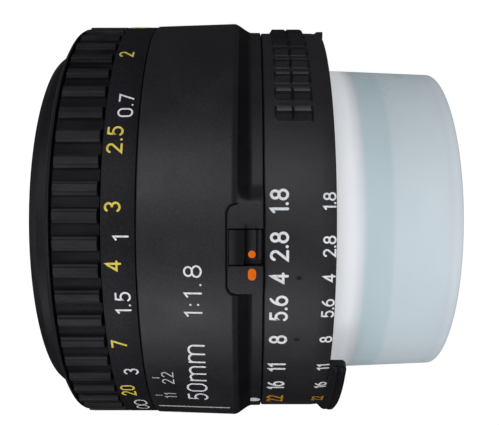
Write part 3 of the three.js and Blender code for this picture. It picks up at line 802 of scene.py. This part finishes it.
def distance_scale():
    """Distances in feet and in metres, each with its dial angle, and infinity."""
    feet = (
        ("20", 11.8), ("7", 30.6), ("4", 51.2), ("3", 64.6), ("2.5", 80.5), ("2", 108.4), ("1.75", 135.0),
    )
    metres = (("3", 20.9), ("1.5", 42.1), ("1", 57.6), ("0.7", 89.8), ("0.45", 150.0))
    gap = 0.30
    yellow = [label(text, dial, 26.15, 2.05, focus_band, 0.13, 0.98, gap) for text, dial in feet]
    white = [label(text, dial, 25.15, 2.0, focus_band, 0.115, 1.0, gap) for text, dial in metres]
    white.append(label("~", 0.8, 25.0, 2.1, focus_band, 0.11))
    make("distance_feet", merged(*yellow), YELLOW, "focus")
    make("distance_metres", merged(*white), WHITE, "focus")


# ---- barrel
def barrel_radius(v):
    """Outer radius of the fixed barrel along the axis."""
    if v <= TAPER_BACK:
        return REAR_RING_RADIUS
    if v < TAPER_FRONT:
        eased = smooth_step(TAPER_BACK, TAPER_FRONT, v)
        straight = (v - TAPER_BACK) / (TAPER_FRONT - TAPER_BACK)
        return REAR_RING_RADIUS + (BODY_RADIUS - REAR_RING_RADIUS) * (0.6 * eased + 0.4 * straight)
    ahead = (v - TAPER_FRONT) / (FOCUS_SEAM - TAPER_FRONT)
    return BODY_RADIUS + (BARREL_FRONT_RADIUS - BODY_RADIUS) * ahead


def pod_distance(dial, v):
    """Millimetres outside (+) or inside (-) the lock pod's rounded outline."""
    middle = math.radians((POD_FROM + POD_TO) / 2)
    half_width = math.radians(POD_TO - POD_FROM) / 2 * POD_RADIUS
    across = abs(math.radians(dial) - middle) * POD_RADIUS - (half_width - POD_CORNER)
    along = v - (POD_FRONT - POD_CORNER)
    outside = math.hypot(max(across, 0), max(along, 0))
    return outside + min(max(across, along), 0) - POD_CORNER


def trace_depth(dial, v):
    """How deep the slider's relief is carried on into the pod past the slot."""
    if dial <= SLOT_TO or v >= PLATE_BACK:
        return 0.0
    depth = 0.09 if in_groove(v) else 0.04
    return depth * smooth_step(SLOT_TO + 1.6, SLOT_TO, dial)


def barrel_height(dial, v):
    """Outer radius of the barrel with the lock pod, its outline groove and the dot's dimple."""
    radius = barrel_radius(v)
    gap = pod_distance(dial, v)
    if gap < 0:
        radius = POD_RADIUS - trace_depth(dial, v)
    elif dial > POD_TO - 1 and v < POD_FRONT:
        radius = max(radius, radius + (POD_RADIUS - radius) * smooth_step(POD_RAMP_TO, POD_TO, dial))
    grooved = v > POD_BACK + 0.3 and (dial < POD_TO - 2 or v > POD_FRONT - POD_CORNER)
    if grooved:
        radius -= GROOVE_DEPTH * max(0.0, 1 - (gap / GROOVE_HALF) ** 2)
    dot = math.hypot(math.radians(dial) * REAR_RING_RADIUS, v - DOT_V)
    return radius - 0.10 * smooth_step(DOT_RADIUS + 0.22, DOT_RADIUS + 0.02, dot)


def barrel_dials():
    """Dial angles of the barrel's outlines, closer at the mounting dot and the lock pod."""
    dot = spread(-3, 3, 24)
    pod = spread(POD_FROM - 1, POD_TO + 1, 150) + spread(POD_TO + 1.4, POD_RAMP_TO, 12)
    coarse = [dial for dial in spread(4.5, 355.5, 234) if not POD_FROM - 1.2 < dial < POD_RAMP_TO + 0.2]
    edges = [SLOT_FROM - SPLIT, SLOT_FROM, SLOT_TO, SLOT_TO + SPLIT, TUNNEL_TO, TUNNEL_TO + STEEP]
    return sorted(dot + coarse + pod + edges)


def barrel_rows():
    """Points along the barrel's outline, closer at the lock pod."""
    rows = [APERTURE_SEAM + 0.1, APERTURE_SEAM + 0.2]
    rows += spread(APERTURE_SEAM + 0.3, POD_FRONT + 0.5, 46)
    rows += [SLOT_FRONT, SLOT_FRONT + STEEP]
    rows += spread(14.5, FOCUS_SEAM - 0.4, 6) + [FOCUS_SEAM - 0.2, FOCUS_SEAM - 0.08]
    return sorted(rows)


def barrel():
    """The cover, open at the lock's slot, the bridge ahead of the slot and its floor."""
    dials, rows = barrel_dials(), barrel_rows()
    first, last = rows[0], rows[-1]
    bevel = 0.12

    def outer_line(dial, stations):
        return [(barrel_height(dial, v) - (bevel if v in (first, last) else 0.0), v) for v in stations]

    def cover_at(turn):
        dial = (turn + 180) % 360 - 180
        under = TUNNEL_ROOF if SLOT_TO < dial <= TUNNEL_TO else COVER_BORE
        inner = [(COVER_BORE, last), (COVER_BORE, SLOT_FRONT + STEEP), (under, SLOT_FRONT), (under, first)]
        return outer_line(dial, rows) + inner

    def bridge_at(dial):
        ahead = [v for v in rows if v >= SLOT_FRONT]
        return outer_line(dial, ahead) + [(COVER_BORE, last), (COVER_BORE, SLOT_FRONT)]

    around = [dial for dial in dials if dial > SLOT_TO] + [dial + 360 for dial in dials if dial < SLOT_FROM]
    cover = sweep(cover_at, around, full=False)
    bridge = sweep(bridge_at, [dial for dial in dials if SLOT_FROM <= dial <= SLOT_TO], full=False)
    floor_line = [
        (COVER_BORE, first), (SLOT_FLOOR, first), (SLOT_FLOOR, SLOT_FRONT), (COVER_BORE, SLOT_FRONT),
    ]
    shape = merged(cover, bridge, sector(floor_line, SLOT_FROM, TUNNEL_TO))
    make("barrel_shell", shape, SHELL, "barrel", ["barrel_cover"], sharp=40)


def barrel_markings():
    """Lens data, index line, depth marks, mounting dot and the lock's mark."""
    text = [
        label("50mm", 19.4, 16.05, 2.85, barrel_radius, 0.095, 1.2, 0.27),
        label("1:1.8", 45.2, 16.2, 2.3, barrel_radius, 0.10, 1.08, 0.40),
    ]
    make("focal_marking", merged(*text), WHITE, "barrel")
    marks = [bar(1.6, start_v=13.3, end_v=23.3, half_width=0.23, surface=barrel_radius)]
    for dial, text in ((9.9, "11"), (18.8, "22"), (-9.9, "11"), (-18.8, "22")):
        marks.append(bar(dial, start_v=22.5, end_v=23.4, half_width=0.07, surface=barrel_radius))
        marks.append(label(text, dial, 20.5, 1.65, barrel_radius, 0.10, 1.1, 0.34))
    make("depth_marks", merged(*marks), GREY, "barrel")
    dot_surface = on_surface(lambda v: REAR_RING_RADIUS - 0.08, 0, DOT_V)
    make("mount_dot", disc((0, 0), DOT_RADIUS, dot_surface, 32), WHITE, "barrel")
    capsule = on_surface(lambda v: POD_RADIUS, dial=49.3, base_v=10.0)
    make("lock_mark", ribbon([(-0.28, 0), (0.28, 0)], 0.5, capsule), ORANGE, "barrel")


# ---- aperture lock
def in_groove(v):
    """Whether v falls in one of the two grooves beside the slider's tongue."""
    return RAIL_FRONT < v < TONGUE_BACK or TONGUE_FRONT < v < PLATE_BACK


def slider_height(dial, v):
    """Outer radius of the lock slider: a plate, a tongue and a rail, with grooves between."""
    if v > PLATE_BACK + 0.1:
        return SLIDER_TOP
    if dial < TONGUE_FROM or in_groove(v):
        return SLIDER_TOP - SLIDER_STEP
    return SLIDER_TOP


def lock_slider():
    dials = spread(SLIDER_FROM, SLIDER_TO, 60)
    rows = spread(SLIDER_BACK, SLIDER_FRONT, 81)
    first, last = rows[0], rows[-1]
    bevel = 0.08

    def outline_at(dial):
        end = bevel if dial in (dials[0], dials[-1]) else 0.0
        outer = [(slider_height(dial, v) - (bevel if v in (first, last) else 0.0) - end, v) for v in rows]
        return outer + [(SLIDER_BOTTOM, last), (SLIDER_BOTTOM, first)]

    shape = sweep(outline_at, dials, full=False)
    make("lock_slide_button", shape, SHELL, "lock", ["lock_slider"], sharp=25)
    place = on_surface(lambda v: SLIDER_TOP, dial=53.9, base_v=10.02)
    make("lock_dot", disc((0, 0), 0.46, place, 28), ORANGE, "lock")


# ---- aperture ring
def aperture_surface(v):
    """Radius of the aperture ring, which is turned in slightly at its rear edge."""
    return APERTURE_RADIUS - 0.10 * smooth_step(0.8, -0.6, v)


def block_height(dial, v):
    """Height of the finger blocks above the ring."""
    ends = min(1.0, max(0.0, min(v - BLOCK_BACK, BLOCK_FRONT - v) / BLOCK_SLOPE))
    split = smooth_step(0.07, 0.19, abs(v - BLOCK_SLOT))
    best = 0.0
    for start in BLOCK_GROUPS:
        i = round((dial - start) / BLOCK_PITCH)
        if 0 <= i < BLOCK_ROWS:
            offset = math.radians(dial - start - i * BLOCK_PITCH) * APERTURE_RADIUS
            up = (offset + BLOCK_BASE) / (BLOCK_CREST[0] + BLOCK_BASE)
            down = (BLOCK_BASE - offset) / (BLOCK_BASE - BLOCK_CREST[1])
            best = max(best, min(1.0, up, down))
    return BLOCK_HEIGHT * best * ends * (0.3 + 0.7 * split)


def aperture_dials():
    """Dial angles with stations on each edge of the finger blocks."""
    edges = [math.degrees(x / APERTURE_RADIUS) for x in (-BLOCK_BASE, *BLOCK_CREST, BLOCK_BASE)]
    dials = []
    for start in BLOCK_GROUPS:
        for i in range(BLOCK_ROWS):
            middle = start + i * BLOCK_PITCH
            dials += [middle + edge for edge in edges]
            dials.append(middle + BLOCK_PITCH / 2)
    covered = [(start - 3, start + BLOCK_ROWS * BLOCK_PITCH) for start in BLOCK_GROUPS]
    for dial in whole_turn(300):
        if not any(low < dial < high or low < dial + 360 < high for low, high in covered):
            dials.append(dial)
    return sorted(dial % 360 for dial in dials)


def aperture_ring():
    """The ring with its finger blocks, the coupling ridge and a small rear tab."""
    front, bore, bevel = APERTURE_SEAM - 0.06, 28.95, 0.12
    rows = [-0.6, -0.45, 0.0, 0.8, 1.6, BLOCK_BACK, BLOCK_BACK + BLOCK_SLOPE, 3.2, 4.2]
    rows += [BLOCK_SLOT + offset for offset in (-0.2, -0.14, -0.07, 0.0, 0.07, 0.14, 0.2)]
    rows += [5.2, 6.0, BLOCK_FRONT - BLOCK_SLOPE, BLOCK_FRONT, 7.8, front - 0.12, front]

    def outline_at(dial):
        outer = []
        for v in rows:
            edge = bevel if v in (rows[0], rows[-1]) else 0.0
            outer.append((aperture_surface(v) + block_height(dial, v) - edge, v))
        return outer + [(bore, front), (bore, 0.6), (29.25, -0.6)]

    ring = sweep(outline_at, aperture_dials())
    tab_line = rounded([(29.4, -1.3), (30.55, -1.3), (30.55, -0.3), (29.4, -0.3)], 0.15)
    shape = merged(ring, coupling_ridge(), sector(tab_line, 137, 147))
    make("aperture_ring_shell", shape, RING, "aperture", ["aperture_ring"], sharp=20)


def coupling_ridge():
    """Raised ridge behind the ring that a camera's meter follows, rounded at both ends."""
    start, end = -45.0, 21.2

    def outline_at(dial):
        near = min(dial - start, end - dial)
        ease = 0.35 * (1 - smooth_step(0.0, 0.8, near))
        return rounded([
            (29.4, -2.8 + ease), (30.7, -2.8 + ease), (31.1 - ease, -2.45), (31.1 - ease, -2.0),
            (30.85 - ease, -1.92), (30.85 - ease, -1.68), (31.05 - ease, -1.6), (31.0 - ease, -1.25),
            (30.3, -0.55), (29.4, -0.5),
        ], 0.1)

    dials = [start, start + 0.2, start + 0.5, start + 0.9] + spread(start + 2, end - 2, 44)
    dials += [end - 0.9, end - 0.5, end - 0.2, end]
    return sweep(outline_at, dials, full=False)


def aperture_scale():
    """Two rows of f-numbers, each with its dial angle, and two pits drawn as painted shade: flat near-black
    spots.
    """
    stops = (
        ("16", 11.3), ("11", 20.3), ("8", 30.5), ("5.6", 39.7), ("4", 47.7), ("2.8", 55.4), ("1.8", 66.1),
    )
    rows = ((5.38, 2.4, 0.145, 0.84, 0.27), (-0.53, 1.68, 0.14, 0.9, 0.25))
    numerals, smallest, painted_pit_shade = [], [], []
    for base_v, height, weight, squeeze, gap in rows:
        for text, dial in stops:
            numerals.append(label(text, dial, base_v, height, aperture_surface, weight, squeeze, gap))
        smallest.append(label("22", 0.8, base_v, height, aperture_surface, 0.13))
    # Painted shade for the two pits: flat spots, with no recess
    for dial in (47.7, 30.5):
        painted_pit_shade.append(ribbon([(0, -0.1), (0, 0.1)], 0.26, on_surface(aperture_surface, dial, 4.1)))
    make("stop_numerals", merged(*numerals), WHITE, "aperture")
    make("smallest_stop_numerals", merged(*smallest), AMBER, "aperture")
    make("ring_painted_pit_shade", merged(*painted_pit_shade), PAINTED_PIT_SHADE, "aperture")


# ---- mount and cap
def bayonet():
    """The flange, the throat behind it and three lugs."""
    throat_back = -4.5
    flange = rounded([(20.7, 0.0), (27.45, 0.0), (27.45, 1.45), (20.7, 1.45)], 0.15)
    throat = rounded([(20.65, throat_back), (21.7, throat_back), (21.7, 0.2), (20.65, 0.2)], 0.15)
    lug = rounded([(21.3, throat_back), (23.05, throat_back), (23.05, -3.05), (21.3, -3.05)], 0.2)
    lugs = [sector(lug, dial - LUG_HALF_WIDTH, dial + LUG_HALF_WIDTH) for dial in LUG_DIALS]
    shape = merged(turned(flange, 192), turned(throat, 192), *lugs)
    make("mount_flange", shape, CHROME, "barrel", ["bayonet_mount"], sharp=30)


def screw_head(radius, depth):
    """A raised head with a cross recess, facing -x; its rings are shares of the radius and depth."""
    segments, cross_reach, cross_half_width, cross_depth = 40, 0.5, 0.12, 0.45
    rings = ((0.02, 0.0), (0.30, 0.0), (0.86, 0.0), (0.97, 0.06), (1.0, 0.18), (1.0, 1.0), (0.02, 1.0))
    verts = []
    for share, deep in rings:
        for i in range(segments):
            t = 2 * math.pi * i / segments
            y, z = radius * share * math.cos(t), radius * share * math.sin(t)
            in_cross = share < cross_reach and min(abs(y), abs(z)) < radius * cross_half_width
            verts.append((depth * (cross_depth if in_cross else deep), y, z))
    faces = []
    for ring in range(len(rings) - 1):
        for i in range(segments):
            j = (i + 1) % segments
            a, b = ring * segments, (ring + 1) * segments
            faces.append((a + i, a + j, b + j, b + i))
    faces.append(tuple(reversed(range(segments))))
    last = (len(rings) - 1) * segments
    faces.append(tuple(range(last, last + segments)))
    return verts, faces


def mount_screws():
    for i, dial in enumerate(SCREW_DIALS):
        head = along_radius(screw_head(1.35, 0.6), dial, SCREW_CIRCLE, -0.05)
        make(f"mount_screw_head_{i + 1}", head, STEEL, "barrel", [f"mount_screw_{i + 1}"])


def rear_cap():
    """A slightly tapered cap, open in front and thinner round the bayonet's lugs."""
    mouth, mouth_bore, end_inside = -0.45, 23.5, CAP_END + 1.15
    outline = rounded([
        (0.0, CAP_END), (23.85, CAP_END), (CAP_RADIUS, -2.4), (CAP_RADIUS, mouth), (mouth_bore, mouth),
        (mouth_bore, -5.9), (22.9, -6.6), (22.5, CAP_END + 1.6), (22.0, end_inside), (0.0, end_inside),
    ], 0.3, 4)
    make("rear_cap_shell", turned(outline, 192), CAP, "cap", ["rear_cap"], sharp=30)


def dress_cad_nodes():
    """Gives every CAD node that still shows its own procedural finish."""
    slots = {row["node"]: row["material_slot"] for row in frame["record"]["subparts"]}
    for name, node in frame["nodes"].items():
        if node.hide_render:
            continue
        material = BLADE if name.startswith("iris_blade") else SLOT_MATERIALS[slots[name]]
        node.data.materials.clear()
        node.data.materials.append(material)


# ---- studio
def studio_camera():
    """The camera, tilted round the optical axis, with the lens's front on the left."""
    tilt = math.radians(VIEW_TILT)
    back = Vector((0, -math.sin(tilt), math.cos(tilt)))
    right = Vector((-1, 0, 0))
    up = back.cross(right)
    target = Vector((SEAT_X + VIEW_V * MM, 0, 0))
    forward = (-back + right * AIM_RIGHT + up * AIM_UP).normalized()
    side = forward.cross(up).normalized()
    rotation = Matrix((side, side.cross(forward), -forward)).transposed()
    data = bpy.data.cameras.new("camera")
    data.lens = FOCAL_LENGTH
    data.clip_start, data.clip_end = 0.005, 20
    camera = placed("camera", data)
    camera.matrix_world = Matrix.Translation(target + back * VIEW_DISTANCE) @ rotation.to_4x4()
    bpy.context.scene.camera = camera


def soft_light(name, direction, distance, size, power, glossy=True):
    """A round light aimed at the lens; without glossy it makes no highlight."""
    middle = (cad_low + cad_high) / 2
    data = bpy.data.lights.new(name, "AREA")
    data.shape, data.size, data.energy, data.color = "DISK", size, power, LIGHT_COLOUR
    light = placed(name, data)
    direction = Vector(direction).normalized()
    light.location = middle + direction * distance
    light.visible_glossy = glossy
    light.rotation_mode = "QUATERNION"
    light.rotation_quaternion = direction.to_track_quat("Z", "Y")


def floor():
    """A floor that is pale to the camera and dim in reflections."""
    size, level = FLOOR_SIZE, cad_low.z - FLOOR_GAP
    corners = [(-size, -size, level), (size, -size, level), (size, size, level), (-size, size, level)]
    mesh = bpy.data.meshes.new("floor")
    mesh.from_pydata(corners, [], [(0, 1, 2, 3)])
    s = Shader("floor_paint")
    cloud = s.noise(3, 2)
    grey = s.ramp(cloud, [(0.2, (0.12, 0.12, 0.12)), (0.8, (0.14, 0.14, 0.14))])
    glow = s.spread(s.seen_by_camera(), 0.0, 0.97, 0, 1)
    s.finish(grey, s.spread(cloud, 0.7, 0.8), None, Emission_Color=(1, 1, 1, 1), Emission_Strength=glow)
    mesh.materials.append(s.material)
    placed("floor", mesh)


def studio():
    """Soft lights, a background that only the camera sees as white, and the floor."""
    soft_light("key_light", (0.30, -0.81, 0.59), distance=0.6, size=0.6, power=1.5, glossy=False)
    soft_light("top_light", (0.25, -0.17, 0.98), distance=0.6, size=0.3, power=1.4)
    soft_light("front_fill", (1.0, -0.3, 0.35), distance=0.7, size=0.5, power=1.2)
    soft_light("rear_fill", (-1.0, -0.2, 0.4), distance=0.7, size=0.5, power=0.8)
    soft_light("side_light", (0.25, -1.0, 0.07), distance=0.6, size=0.3, power=1.55)
    world = bpy.data.worlds.new("world")
    world.use_nodes = True
    nodes, links = world.node_tree.nodes, world.node_tree.links
    strength = nodes.new("ShaderNodeMapRange")
    strength.inputs["To Min"].default_value = 0.022
    strength.inputs["To Max"].default_value = 1.0
    links.new(nodes.new("ShaderNodeLightPath").outputs["Is Camera Ray"], strength.inputs["Value"])
    links.new(strength.outputs["Result"], nodes["Background"].inputs["Strength"])
    nodes["Background"].inputs["Color"].default_value = (1, 1, 1, 1)
    bpy.context.scene.world = world
    bpy.context.scene.view_settings.view_transform = "Standard"
    floor()


filter_ring()
name_ring()
glass_elements()
focus_shell()
grip()
distance_scale()
barrel()
barrel_markings()
lock_slider()
aperture_ring()
aperture_scale()
bayonet()
mount_screws()
rear_cap()
dress_cad_nodes()
studio_camera()
studio()
